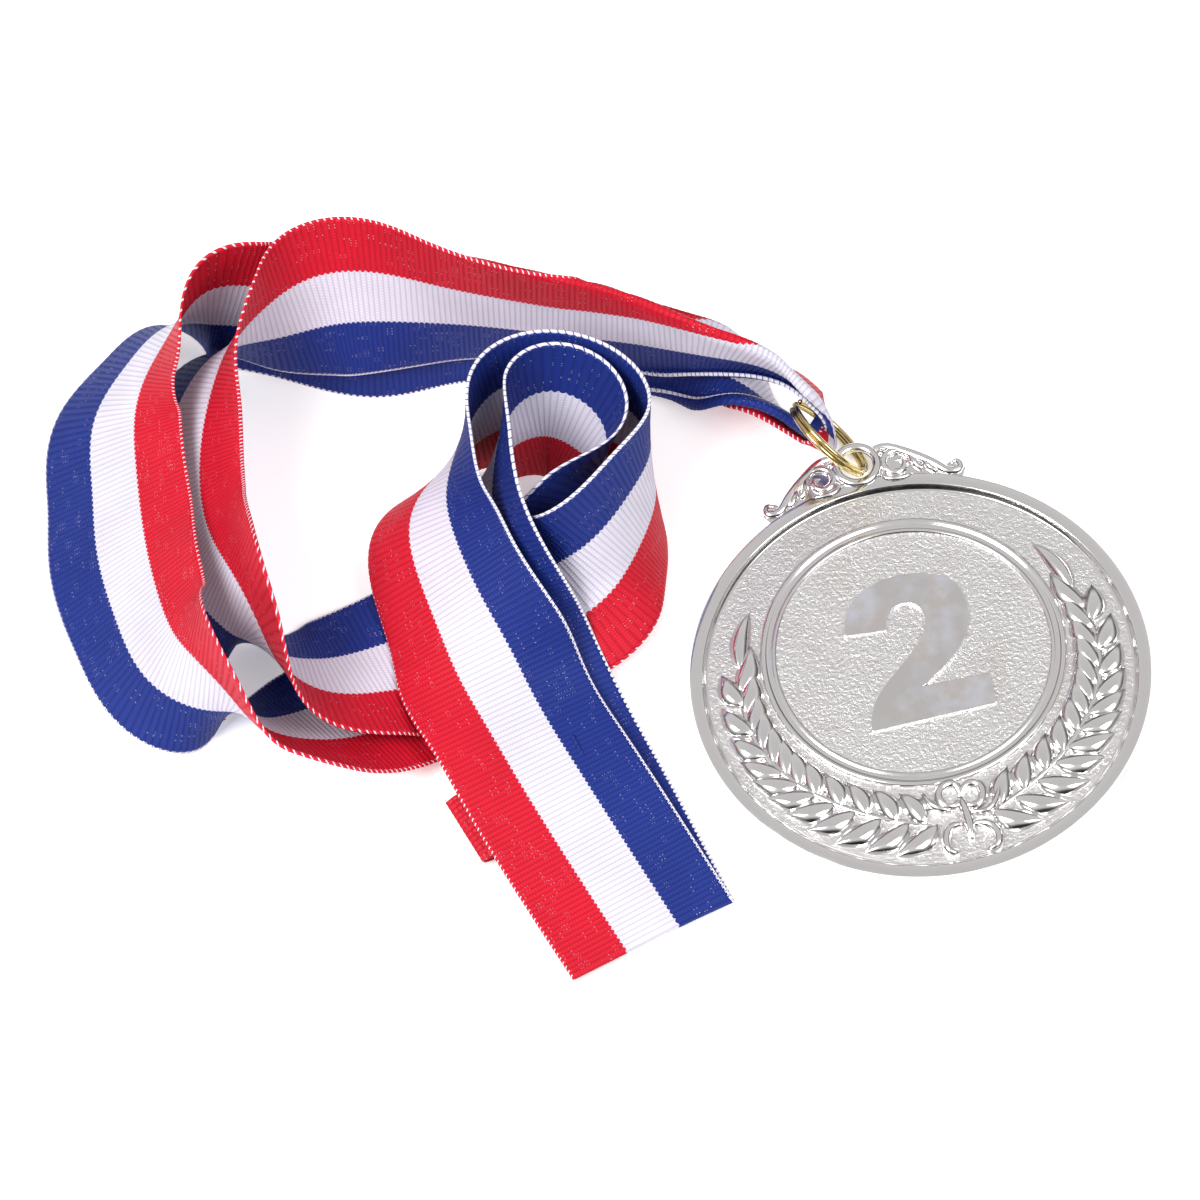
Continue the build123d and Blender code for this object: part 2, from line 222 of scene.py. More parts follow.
def smooth_curve(knots, values, samples):
    """Natural cubic spline through the values at the knots, read at the samples."""
    count = len(knots)
    gaps = np.diff(knots)
    matrix = np.eye(count)
    right = np.zeros_like(values)
    for i in range(1, count - 1):
        matrix[i, i - 1:i + 2] = (gaps[i - 1], 2 * (gaps[i - 1] + gaps[i]), gaps[i])
        slope_change = (values[i + 1] - values[i]) / gaps[i] - (values[i] - values[i - 1]) / gaps[i - 1]
        right[i] = 6 * slope_change
    bend = np.linalg.solve(matrix, right)
    span = np.clip(np.searchsorted(knots, samples, side="right") - 1, 0, count - 2)
    after = ((samples - knots[span]) / gaps[span])[:, None]
    before = 1 - after
    cubic = (before**3 - before) * bend[span] + (after**3 - after) * bend[span + 1]
    return before * values[span] + after * values[span + 1] + cubic * gaps[span, None] ** 2 / 6


def spline_points(points, count):
    """count points evenly along a smooth line through the given points."""
    table = np.array(points, float)
    runs = np.linalg.norm(np.diff(table, axis=0), axis=1)
    knots = np.concatenate([[0], np.cumsum(runs)])
    return smooth_curve(knots, table, np.linspace(0, knots[-1], count))


def unit(vectors):
    return vectors / np.linalg.norm(vectors, axis=-1, keepdims=True)


def ease(values):
    """0 to 1 with level ends."""
    t = np.clip(values, 0, 1)
    return t * t * (3 - 2 * t)


# ---------------------------------------------------------------- mesh helpers


def make_object(name, points, faces, material, smooth=True, uvs=None):
    """A mesh object from millimetre points. uvs holds one pair per face corner."""
    mesh = bpy.data.meshes.new(name)
    mesh.from_pydata((np.asarray(points, float) * MM).tolist(), [], faces)
    mesh.materials.append(material)
    mesh.polygons.foreach_set("use_smooth", [smooth] * len(mesh.polygons))
    if uvs is not None:
        layer = mesh.uv_layers.new(name="weave")
        layer.data.foreach_set("uv", np.asarray(uvs, np.float32).ravel())
    mesh.update()
    made = bpy.data.objects.new(name, mesh)
    bpy.context.scene.collection.objects.link(made)
    return made


def grid_faces(rows, columns, wrap_rows=False, wrap_columns=True):
    """Quads between the points of a grid, counted row by row."""
    faces = []
    for i in range(rows if wrap_rows else rows - 1):
        here, there = i * columns, (i + 1) % rows * columns
        for k in range(columns if wrap_columns else columns - 1):
            m = (k + 1) % columns
            faces.append((here + k, here + m, there + m, there + k))
    return faces


def lathe(name, profile, centre, material, turns=256):
    """The (radius, height) profile turned about an upright axis. Radius 0 closes it with a fan."""
    ring_points = [(r, z) for r, z in profile if r > 0]
    points = []
    for r, z in ring_points:
        for i in range(turns):
            angle = 2 * math.pi * i / turns
            points.append((centre[0] + r * math.cos(angle), centre[1] + r * math.sin(angle), z))
    faces = grid_faces(len(ring_points), turns)
    for r, z, row in ((*profile[0], 0), (*profile[-1], len(ring_points) - 1)):
        if r == 0:
            points.append((*centre, z))
            hub = len(points) - 1
            first = row * turns
            for i in range(turns):
                side = (first + i, first + (i + 1) % turns)
                faces.append((side[1], side[0], hub) if row == 0 else (*side, hub))
    made = make_object(name, points, faces, material)
    made.data.set_sharp_from_angle(angle=math.radians(50))
    return made


def plate(name, outline, low, high, material, bevel):
    """An outline raised from low to high, its top edge bevelled."""
    mesh = bmesh.new()
    base = mesh.faces.new([mesh.verts.new((x * MM, y * MM, low * MM)) for x, y in outline])
    mesh.normal_update()
    if base.normal.z > 0:
        base.normal_flip()
    raised = bmesh.ops.extrude_face_region(mesh, geom=[base], use_keep_orig=True)
    top = [v for v in raised["geom"] if isinstance(v, bmesh.types.BMVert)]
    bmesh.ops.translate(mesh, verts=top, vec=(0, 0, (high - low) * MM))
    rim = [e for e in mesh.edges if e.verts[0] in top and e.verts[1] in top]
    bmesh.ops.bevel(mesh, geom=rim, offset=bevel * MM, segments=2, affect="EDGES", profile=0.6)
    bmesh.ops.recalc_face_normals(mesh, faces=mesh.faces)
    data = bpy.data.meshes.new(name)
    mesh.to_mesh(data)
    mesh.free()
    data.materials.append(material)
    made = bpy.data.objects.new(name, data)
    bpy.context.scene.collection.objects.link(made)
    return made


def strand_shape(path, half_width, level, rise):
    """Points and faces of a rounded strand that tapers at both ends, lying at a level."""
    sides = 10
    line = spline_points(path, 8 * len(path))
    along = unit(np.gradient(line, axis=0))
    normal = np.column_stack([-along[:, 1], along[:, 0]])
    place = np.linspace(0, 1, len(line))
    taper = 0.35 + 0.65 * np.sin(np.pi * np.clip(place * 1.02, 0, 1)) ** 0.5
    points = []
    for at, out, size in zip(line, normal, taper):
        for i in range(sides):
            angle = 2 * math.pi * i / sides
            shift = out * half_width * size * math.cos(angle)
            points.append((*(at + shift), level + rise * size * math.sin(angle)))
    faces = grid_faces(len(line), sides)
    faces.append(tuple(range(sides)))
    last = len(points) - sides
    faces.append(tuple(range(len(points) - 1, last - 1, -1)))
    return points, faces


def joined(name, shapes, material):
    """One object from several (points, faces) shapes, with outward normals."""
    points, faces = [], []
    for shape_points, shape_faces in shapes:
        start = len(points)
        points += [tuple(p) for p in shape_points]
        faces += [tuple(start + i for i in face) for face in shape_faces]
    made = make_object(name, points, faces, material)
    mesh = bmesh.new()
    mesh.from_mesh(made.data)
    bmesh.ops.recalc_face_normals(mesh, faces=mesh.faces)
    mesh.to_mesh(made.data)
    mesh.free()
    return made


def mirrored(shape):
    points, faces = shape
    return [(-x, y, z) for x, y, z in points], faces


# ---------------------------------------------------------------- materials


class Shader:
    """A Principled material and short ways to add nodes to it."""

    def __init__(self, name):
        self.material = bpy.data.materials.new(name)
        self.material.use_nodes = True
        self.nodes = self.material.node_tree.nodes
        self.links = self.material.node_tree.links
        self.surface = self.nodes["Principled BSDF"]

    def put(self, socket, value):
        if isinstance(value, bpy.types.NodeSocket):
            self.links.new(value, socket)
        else:
            socket.default_value = value

    def math(self, operation, first, second=0.0):
        node = self.nodes.new("ShaderNodeMath")
        node.operation = operation
        self.put(node.inputs[0], first)
        self.put(node.inputs[1], second)
        return node.outputs[0]

    def mix(self, factor, first, second):
        node = self.nodes.new("ShaderNodeMix")
        node.data_type = "RGBA"
        self.put(node.inputs["Factor"], factor)
        self.put(node.inputs[6], first)
        self.put(node.inputs[7], second)
        return node.outputs[2]

    def ramp(self, value, low, high, to_low=0.0, to_high=1.0):
        node = self.nodes.new("ShaderNodeMapRange")
        for i, number in enumerate((value, low, high, to_low, to_high)):
            self.put(node.inputs[i], number)
        return node.outputs[0]

    def noise(self, size, detail=2.0, vector=None):
        """Noise whose grains are about size millimetres."""
        node = self.nodes.new("ShaderNodeTexNoise")
        node.inputs["Scale"].default_value = 1 / (size * MM)
        node.inputs["Detail"].default_value = detail
        if vector is None:
            vector = self.nodes.new("ShaderNodeTexCoord").outputs["Object"]
        self.links.new(vector, node.inputs["Vector"])
        return node.outputs["Fac"]

    def bump(self, height, depth, normal=None):
        """Bump of that depth in millimetres for heights from 0 to 1."""
        node = self.nodes.new("ShaderNodeBump")
        node.inputs["Distance"].default_value = depth * MM
        self.put(node.inputs["Height"], height)
        if normal is not None:
            self.links.new(normal, node.inputs["Normal"])
        return node.outputs[0]

    def weave_place(self):
        """Millimetres across from the blue edge and along the strip."""
        place = self.nodes.new("ShaderNodeUVMap")
        place.uv_map = "weave"
        parts = self.nodes.new("ShaderNodeSeparateXYZ")
        self.links.new(place.outputs[0], parts.inputs[0])
        return parts.outputs[0], parts.outputs[1]

    def wave(self, value, pitch):
        """0 in the gap and 1 on the crown of each step of a pitch."""
        turned = self.math("MULTIPLY", value, math.pi / pitch)
        return self.math("ABSOLUTE", self.math("SINE", turned))

    def finish(self, **inputs):
        for name, value in inputs.items():
            self.put(self.surface.inputs[name.replace("_", " ")], value)
        return self.material


blue_dye = (0.0105, 0.027, 0.205, 1)
red_dye = (0.58, 0.006, 0.024, 1)
white_yarn = (0.70, 0.665, 0.78, 1)


def ribbon_weave():
    """Ribbed weave in three bands, with a warp thread's nubs, white flecks between ribs, and painted shade
    in the gaps between ribs and between threads.
    """
    s = Shader("ribbon_weave")
    across, along = s.weave_place()
    rib = s.wave(along, rib_pitch)
    row = s.math("FLOOR", s.math("DIVIDE", along, rib_pitch))
    stagger = s.math("MULTIPLY", row, thread_pitch / 2)
    thread = s.wave(s.math("ADD", across, stagger), thread_pitch)
    wander = s.math("MULTIPLY", rib, 0.32)
    in_blue = s.math("LESS_THAN", across, s.math("ADD", wander, band_width - 0.16))
    in_red = s.math("GREATER_THAN", across, s.math("SUBTRACT", 2 * band_width + 0.16, wander))
    colour = s.mix(in_blue, white_yarn, blue_dye)
    colour = s.mix(in_red, colour, red_dye)
    dyed = s.math("MAXIMUM", in_blue, in_red)
    uneven = s.noise(9.0, 2.0)
    cells = s.nodes.new("ShaderNodeCombineXYZ")
    s.put(cells.inputs[0], s.math("FLOOR", s.math("DIVIDE", across, thread_pitch)))
    s.put(cells.inputs[1], row)
    chance = s.nodes.new("ShaderNodeTexWhiteNoise")
    chance.noise_dimensions = "2D"
    s.links.new(cells.outputs[0], chance.inputs["Vector"])
    picked = s.math("GREATER_THAN", chance.outputs["Value"], 0.93)
    gap = s.math("LESS_THAN", rib, 0.4)
    fleck = s.math("MULTIPLY", s.math("MULTIPLY", picked, gap), s.math("GREATER_THAN", thread, 0.8))
    fleck = s.math("MULTIPLY", s.math("MULTIPLY", fleck, dyed), 0.35)
    # Painted shade: the colour is darkened in the gaps between ribs and between threads. The slow noise on
    # top is the yarn's own uneven tone.
    shade = s.ramp(rib, 0.0, 0.7, 0.72, 1.0)
    shade = s.math("MULTIPLY", shade, s.ramp(thread, 0.0, 1.0, 0.86, 1.0))
    shade = s.math("MULTIPLY", shade, s.ramp(uneven, 0.3, 0.7, 0.93, 1.05))
    shaded = s.mix(1.0, colour, shade)
    shaded.node.blend_type = "MULTIPLY"
    shaded = s.mix(fleck, shaded, white_yarn)
    height = s.math("MULTIPLY", rib, s.ramp(thread, 0.0, 1.0, 0.55, 1.0))
    return s.finish(
        Base_Color=shaded,
        Roughness=s.ramp(rib, 0.0, 1.0, 0.75, 0.5),
        Normal=s.bump(height, 0.09),
        Specular_IOR_Level=0.2,
    )


def edge_cord(name, dye, share):
    """The woven edge: white loops that show between picks of the band's own colour."""
    s = Shader(name)
    around, along = s.weave_place()
    slanted = s.math("ADD", along, s.math("MULTIPLY", around, 0.12))
    rib = s.wave(slanted, rib_pitch)
    loop = s.math("GREATER_THAN", rib, share)
    colour = s.mix(loop, dye, (0.78, 0.75, 0.84, 1))
    return s.finish(Base_Color=colour, Roughness=0.65, Normal=s.bump(rib, 0.1), Specular_IOR_Level=0.3)


def polished_metal(name, colour, roughness):
    """Plated metal with faint clouding in its polish."""
    s = Shader(name)
    cloud = s.noise(3.0, 4.0)
    ripple = s.bump(s.noise(1.6, 2.0), 0.012)
    gloss = s.ramp(cloud, 0.3, 0.7, roughness * 0.7, roughness * 1.4)
    return s.finish(Base_Color=colour, Metallic=1.0, Roughness=gloss, Normal=ripple)


def blasted_metal(name, colour):
    """The sand-blasted field: fine pits that glint, over a soft grey."""
    s = Shader(name)
    coarse = s.noise(0.55, 3.0)
    fine = s.noise(0.2, 2.0)
    height = s.math("ADD", coarse, s.math("MULTIPLY", fine, 0.5))
    stain = s.ramp(s.noise(7.0, 4.0), 0.52, 0.75, 0.0, 0.3)
    tone = s.mix(stain, colour, (0.62, 0.58, 0.53, 1))
    return s.finish(Base_Color=tone, Metallic=1.0, Roughness=0.33, Normal=s.bump(height, 0.16))


def hazy_metal():
    """The figure's flat top, polished and clouded in faint warm and cool patches."""
    s = Shader("hazy_figure")
    patch = s.noise(5.0, 5.0)
    cool = s.mix(s.ramp(patch, 0.42, 0.6), (0.72, 0.70, 0.69, 1), (0.79, 0.80, 0.86, 1))
    warm = s.mix(s.ramp(s.noise(3.5, 4.0), 0.5, 0.66), cool, (0.74, 0.69, 0.66, 1))
    return s.finish(
        Base_Color=warm,
        Metallic=1.0,
        Roughness=s.ramp(patch, 0.35, 0.65, 0.16, 0.3),
        Normal=s.bump(s.noise(0.5, 2.0), 0.01),
    )


# ---------------------------------------------------------------- ribbon


def route_edges(stations, step):
    """Blue and red edge points along one half of the ribbon, step millimetres apart."""
    table = np.array(stations)
    runs = np.linalg.norm(np.diff(table[:, :3], axis=0), axis=1)
    knots = np.concatenate([[0], np.cumsum(runs)])
    samples = np.linspace(0, knots[-1], round(knots[-1] / step) + 1)
    middle = smooth_curve(knots, table[:, :3], samples)
    roll, width = smooth_curve(knots, table[:, 3:], samples).T
    along = unit(np.gradient(middle, axis=0))
    level = unit(np.cross((0, 0, 1), along))
    steep = np.cross(along, level)
    angle = np.radians(roll)[:, None]
    across = np.cos(angle) * level + np.sin(angle) * steep
    half = np.minimum(width, ribbon_width)[:, None] / 2
    return np.stack([middle - across * half, middle + across * half], axis=1)


def end_fold(last_near, last_far):
    """Sections round the fold where the near half turns under into the far half."""
    sections = []
    for turn in (30, 60, 90, 120, 150):
        lift = 0.5 + 0.5 * math.cos(math.radians(turn))
        reach = fold_radius * math.sin(math.radians(turn))
        sections.append(last_far + (last_near - last_far) * lift + fold_direction * reach)
    return np.array(sections)


def ribbon_loop():
    """Every section of the closed strip, and which side of each the blue edge curls over."""
    step = rib_pitch / rows_per_rib
    near = route_edges(near_half, step)
    far = route_edges(far_half, step)
    fold = end_fold(near[-1], far[-1])
    turn = np.array([far[0], *np.array(bight, float), near[0]])
    edges = turn.reshape(len(turn), 6)
    length = np.linalg.norm(np.diff(edges.reshape(-1, 2, 3).mean(axis=1), axis=0), axis=1).sum()
    inner = round(length / step)
    inner += -(len(near) + len(fold) + len(far) + inner) % rows_per_rib
    gathered = spline_points(edges, inner + 2)[1:-1].reshape(-1, 2, 3)
    sections = np.concatenate([near, fold, far[::-1], gathered])
    side = np.ones(len(sections))
    side[len(near):] = -1
    side[-inner:] = np.linspace(-1, 1, inner)
    return sections, side


def across_profile(width, side):
    """For each section: how far each column lies from the blue edge along the
    cloth, across the section and off its plane. Where the strip narrows, its
    blue edge curls over one face and its red edge is gathered behind the other."""
    spare = ribbon_width - width
    flap = np.minimum(flap_share * spare, flap_limit)
    under = spare - flap
    flap_zone = np.maximum(flap, 1.0)
    under_zone = np.maximum(under, 1.0)
    main = ribbon_width - flap_zone - under_zone
    flap_marks = (1.0, 0.5, 0.3, 0.15)
    main_marks = (0.0, 0.2, 0.4, 0.6, 0.8, 1.0)
    under_marks = (0.12, 0.25, 0.5, 1.0)
    first_main = len(flap_marks)
    last_main = first_main + len(main_marks)
    columns = [(-flap_zone * m, "flap") for m in flap_marks]
    columns += [(main * m, "main") for m in main_marks]
    columns += [(main + under_zone * m, "under") for m in under_marks]
    longest = np.maximum(under - math.pi * curl_radius, 0.1)
    tuck = np.minimum(1, np.maximum(width - 1.5, 2.0) / longest)
    arc, out, off = [], [], []
    for distance, part in columns:
        arc.append(distance + flap_zone)
        if part == "main":
            out.append(distance)
            off.append(0 * distance)
            continue
        beyond = -distance if part == "flap" else distance - main
        amount = ease((flap if part == "flap" else under) / 1.6) * 0.98
        turn = np.maximum(amount, 1e-3)
        bent = np.minimum(beyond, math.pi * curl_radius)
        angle = turn * bent / curl_radius
        straight = beyond - bent
        if part == "under":
            straight = straight * tuck
        reach = curl_radius / turn * np.sin(angle) + straight * np.cos(angle)
        lift = curl_radius / turn * (1 - np.cos(angle)) + straight * np.sin(angle)
        out.append(-reach if part == "flap" else main + reach)
        off.append(lift * side if part == "flap" else -lift * side)
    arc, out, off = (np.array(rows).T for rows in (arc, out, off))
    low = out[:, :last_main].min(axis=1)
    high = out[:, first_main:].max(axis=1)
    out = (out - low[:, None]) * (width / (high - low))[:, None]
    return arc, np.clip(out, -0.5, None), off


def cloth_surface(sections, side, closed):
    """Middle surface and its unit normals for every column of every section, and the arc table."""
    blue, red = sections[:, 0], sections[:, 1]
    middle = (blue + red) / 2
    if closed:
        along = np.roll(middle, -1, axis=0) - np.roll(middle, 1, axis=0)
    else:
        along = np.gradient(middle, axis=0)
    width = np.linalg.norm(red - blue, axis=1)
    across = (red - blue) / width[:, None]
    normal = unit(np.cross(across, along))
    arc, out, off = across_profile(width, side)
    points = blue[:, None] + across[:, None] * out[..., None] + normal[:, None] * off[..., None]
    run = np.gradient(out, axis=1)[..., None]
    rise = np.gradient(off, axis=1)[..., None]
    facing = unit(normal[:, None] * run - across[:, None] * rise)
    return points, facing, arc


def ribbon_mesh(name, sections, side, closed, material):
    """The strip as a thin closed sheet whose ribs stand out on both faces."""
    points, facing, arc = cloth_surface(sections, side, closed)
    rows, columns = arc.shape
    along = np.arange(rows) * rib_pitch / rows_per_rib
    rib = rib_height * np.abs(np.sin(math.pi * (along + rib_pitch / 6) / rib_pitch))
    half = (ribbon_thickness / 2 + rib)[:, None, None]
    ring = np.concatenate([points - facing * half, (points + facing * half)[:, ::-1]], axis=1)
    around = 2 * columns
    arcs = np.concatenate([arc, arc[:, ::-1]], axis=1)
    faces = grid_faces(rows, around, wrap_rows=closed)
    uvs = []
    for i, (a, b, c, d) in enumerate(faces):
        row = i // around
        low, high = along[row], along[row] + rib_pitch / rows_per_rib
        across = arcs[row].tolist()
        uvs += [(across[a % around], low), (across[b % around], low)]
        uvs += [(across[b % around], high), (across[a % around], high)]
    if not closed:
        faces += [tuple(range(around))[::-1], tuple(range((rows - 1) * around, rows * around))]
        uvs += [(20.0, 0.0)] * (2 * around)
    return make_object(name, ring.reshape(-1, 3), faces, material, uvs=uvs)


def cord_mesh(name, sections, side, closed, column, material):
    """The corded woven edge that runs along one side of the strip."""
    sides = 6
    points, facing, arc = cloth_surface(sections, side, closed)
    line, up = points[:, column], facing[:, column]
    ahead = np.roll(line, -1, axis=0) - np.roll(line, 1, axis=0) if closed else np.gradient(line, axis=0)
    out = unit(np.cross(unit(ahead), up))
    along = np.arange(len(line)) * rib_pitch / rows_per_rib
    swell = 0.95 + 0.06 * np.abs(np.sin(math.pi * (along + rib_pitch / 6) / rib_pitch))
    rings = []
    for i in range(sides):
        angle = 2 * math.pi * i / sides
        shift = out * math.cos(angle) + up * math.sin(angle)
        rings.append(line + shift * (edge_cord_radius * swell)[:, None])
    rings = np.stack(rings, axis=1)
    faces = grid_faces(len(line), sides, wrap_rows=closed)
    uvs = []
    for i in range(len(faces)):
        row, k = divmod(i, sides)
        low, high = along[row], along[row] + rib_pitch / rows_per_rib
        uvs += [(k, low), (k + 1, low), (k + 1, high), (k, high)]
    if not closed:
        last = len(line) * sides
        faces += [tuple(range(sides))[::-1], tuple(range(last - sides, last))]
        uvs += [(0.0, 0.0)] * (2 * sides)
    return make_object(name, rings.reshape(-1, 3), faces, material, uvs=uvs)


def tail_sections(i):
    """Sections along one sewn seam tail."""
    shift = np.array((0.7 * i, 0.2 * i, tail_lift * i))
    north, south = np.array(tail_north) + shift, np.array(tail_south) + shift
    steps = round(np.linalg.norm(south[1] - north[1]) / rib_pitch * rows_per_rib)
    return np.array([north + (south - north) * k / steps for k in range(steps + 1)])


def build_ribbon():
    weave = ribbon_weave()
    blue_cord = edge_cord("blue_edge_cord", blue_dye, 0.22)
    red_cord = edge_cord("red_edge_cord", red_dye, 0.94)
    sections, side = ribbon_loop()
    strip = ribbon_mesh("ribbon_strip", sections, side, True, weave)
    edges = [
        cord_mesh("ribbon_blue_edge", sections, side, True, 0, blue_cord),
        cord_mesh("ribbon_red_edge", sections, side, True, -1, red_cord),
    ]
    ribbon_nodes = [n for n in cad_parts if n.startswith("ribbon_")]
    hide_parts(*sorted(ribbon_nodes))
    tails = []
    for i in range(2):
        ends = tail_sections(i)
        flat = np.ones(len(ends))
        tail = ribbon_mesh(f"seam_tail_strip_{i + 1}", ends, flat, False, weave)
        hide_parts(f"seam_tail_{i + 1}")
        tails += [tail, cord_mesh(f"seam_tail_edge_{i + 1}", ends, flat, False, -1, red_cord)]
    for piece in [strip, *edges, *tails]:
        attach(piece, "ribbon")


# ---------------------------------------------------------------- medal


def numeral_outline():
    """The figure's outline as one closed loop."""
    bowl = [(-8.7, 9.0), (-7.5, 12.4), (-3.9, 15.3), (0.6, 16.2), (5.1, 15.4), (8.5, 12.9), (9.2, 8.8),
            (8.0, 4.7), (5.4, 1.6), (1.9, -0.8), (0.0, -2.0)]
    foot = [(9.2, -2.4), (9.35, -2.6), (9.1, -7.2), (8.9, -7.3), (-8.7, -7.1), (-8.85, -6.9)]
    counter = [(-8.8, -6.0), (-7.8, -3.5), (-5.2, -0.4), (-0.3, 3.7), (2.1, 6.4), (2.9, 8.6), (2.6, 10.4),
               (1.2, 11.6), (-0.5, 11.5), (-2.0, 10.1), (-2.8, 8.2)]
    corner = [(-3.0, 8.1), (-8.5, 8.75)]
    return [*spline_points(bowl, 60), *foot, *spline_points(counter, 60), *corner]


def leaf_shape(base, tip, half_width, dome, bend):
    """A domed leaf with a creased spine, from base to tip, bending to one side."""
    lengths, widths = 15, 11
    root = 0.1
    start, finish = np.array(base), np.array(tip)
    ahead = finish - start
    size = np.linalg.norm(ahead)
    aside = np.array((-ahead[1], ahead[0])) / size
    points = []
    for i in range(lengths):
        s = i / (lengths - 1)
        spread = half_width * math.sin(math.pi * s ** 0.85) ** 0.75 if 0 < s < 1 else 0.02
        middle = start + ahead * s + aside * bend * size * math.sin(math.pi * s)
        for k in range(widths):
            t = 2 * k / (widths - 1) - 1
            crease = spine_depth * math.exp(-(t / spine_width) ** 2)
            swell = max(0.0, math.cos(math.pi * t / 2)) ** 0.8 - crease
            rise = dome * swell * (0.25 + 0.75 * math.sin(math.pi * min(s * 1.05, 1)) ** 0.6)
            level = field_level if t * t < 1 else field_level - root
            points.append((*(middle + aside * spread * t), level + max(rise, 0)))
    return points, grid_faces(lengths, widths, wrap_columns=False)


def wreath_shapes():
    """Both branches: a stem and its two rows of leaves."""
    shapes = []
    for i, (x, y, tip_x, tip_y) in enumerate(outer_leaves):
        wide = leaf_half_width * (0.8 if i == 0 else 1.0)
        shapes.append(leaf_shape((x, y), (tip_x, tip_y), wide, leaf_dome, -0.07))
    for x, y, tip_x, tip_y in inner_leaves:
        shapes.append(leaf_shape((x, y), (tip_x, tip_y), leaf_half_width * 0.95, leaf_dome * 0.95, 0.07))
    shapes.append(strand_shape(stem_line, 0.55, field_level, 0.6))
    return shapes + [mirrored(shape) for shape in shapes]


def crest_outline():
    """The crest plate's outline, notched round the eyelet."""
    right = [*crest_edge]
    foot = [(31.2 * math.sin(a), 31.2 * math.cos(a)) for a in np.radians([22, 15, 8, 0])]
    notch = []
    for degrees in range(220, 321, 10):
        angle = math.radians(degrees)
        notch.append((2.75 * math.cos(angle), eyelet_centre[1] + 2.75 * math.sin(angle)))
    left = [(-x, y) for x, y in right[::-1]]
    left_foot = [(-x, y) for x, y in foot[:-1]]
    return [*left, (-3.0, 36.4), *notch, (3.0, 36.4), *right, *foot, *left_foot[::-1]]


def torus_shape(centre, radius, bar, turns=64, sides=14):
    points = []
    for i in range(turns):
        angle = 2 * math.pi * i / turns
        for k in range(sides):
            around = 2 * math.pi * k / sides
            out = radius + bar * math.cos(around)
            points.append((centre[0] + out * math.cos(angle), centre[1] + out * math.sin(angle),
                           centre[2] + bar * math.sin(around)))
    return points, grid_faces(turns, sides, wrap_rows=True)


def build_disc(polished, blasted):
    body = [
        (0, 0), (18.8, 0), (19.0, 0.1), (19.1, 0.5), (29.4, 0.5), (29.5, 0.1), (29.7, 0), (32.1, 0),
        (32.4, 0.1), (disc_radius, 0.35), (disc_radius, 1.95), (32.42, 2.2), (32.15, disc_top),
        (30.8, disc_top),
        (30.66, 2.24), (30.58, 2.12), (30.25, 1.5), (30.12, field_level + 0.02),
        (field_radius, field_level), (29.6, field_level), (0, field_level),
    ]
    disc = lathe("disc", body, (0, 0), polished)
    skin_top = field_level + field_skin
    skin = [(field_radius, field_level - 0.1), (field_radius, skin_top), (0, skin_top)]
    field = lathe("disc_field", skin, (0, 0), blasted)
    ridges = [
        (21.7, field_level - 0.2), (21.65, 1.6), (21.5, 1.85), (21.25, 1.98), (20.95, 1.95), (20.75, 1.78),
        (20.6, 1.68), (20.1, 1.66), (19.95, 1.74), (19.8, 1.86), (19.55, 1.86), (19.4, 1.74), (19.3, 1.5),
        (19.3, field_level - 0.2),
    ]
    rings = lathe("medallion_ridges", ridges, medallion_centre, polished)
    return [disc, field, rings]


def build_medal():
    colour = (0.80, 0.785, 0.78, 1)
    polished = polished_metal("polished_plating", colour, 0.15)
    # Painted shade: the outer field's grey is set darker than the insert's, though both have the same
    # blasted finish, to tone down the light that falls on the field.
    blasted = blasted_metal("blasted_field_painted_shade", (0.76, 0.745, 0.74, 1))
    pieces = build_disc(polished, blasted)
    pieces.append(joined("wreath", wreath_shapes(), polished))
    bow = [strand_shape(path, wide, field_level + 0.1, 1.3) for wide, path in bow_strands]
    pieces.append(joined("bow", bow, polished))
    pieces.append(plate("crest_plate", crest_outline(), 0.9, 1.95, polished, 0.25))
    scrolls = [strand_shape(path, wide * 1.15, 1.85, 0.95) for wide, path in crest_strands]
    scrolls += [mirrored(shape) for shape in scrolls]
    pieces.append(joined("crest_scrolls", scrolls, polished))
    pieces.append(joined("eyelet", [torus_shape(eyelet_centre, eyelet_radius, eyelet_bar)], polished))
    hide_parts("medal_casting")
    plate_profile = [(0, 0.95), (insert_radius, 0.95), (insert_radius, insert_level), (0, insert_level)]
    insert = lathe("insert_field", plate_profile, medallion_centre, blasted_metal("blasted_insert", colour))
    figure = plate("insert_figure", numeral_outline(), 1.2, numeral_top, hazy_metal(), 0.09)
    figure.data.materials.append(polished)
    for face in figure.data.polygons:
        face.material_index = 0 if face.normal.z > 0.99 else 1
    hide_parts("numeral_insert")
    for piece in [*pieces, insert, figure]:
        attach(piece, "medal")


# ---------------------------------------------------------------- split ring


def build_ring():
    """Two turns of wire whose ends meet side by side at the step between the turns."""
    sides, jog, count = 12, 0.24, 260
    brass = polished_metal("ring_brass", (0.62, 0.50, 0.23, 1), 0.16)
    toward = Vector((-0.66, 0.75, 0.3))
    first = (toward - ring_axis * toward.dot(ring_axis)).normalized()
    second = ring_axis.cross(first)
    points = []
    for i in range(count):
        angle = jog + (4 * math.pi - 2 * jog) * i / (count - 1)
        step = float(ease(np.array((angle - 2 * math.pi + jog) / (2 * jog))))
        outward = first * math.cos(angle) + second * math.sin(angle)
        middle = ring_centre + outward * ring_radius + ring_axis * ring_turn_offset * (2 * step - 1)
        end_taper = 0.75 if i in (0, count - 1) else 1.0
        for k in range(sides):
            around = 2 * math.pi * k / sides
            shift = outward * math.cos(around) + ring_axis * math.sin(around)
            points.append(middle + shift * ring_wire_radius * end_taper)
    faces = grid_faces(count, sides)
    faces.append(tuple(range(sides))[::-1])
    faces.append(tuple(range(len(points) - sides, len(points))))
    ring = joined("split_ring_coil", [(points, faces)], brass)
    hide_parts("split_ring")
    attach(ring, "ring")


# ---------------------------------------------------------------- studio


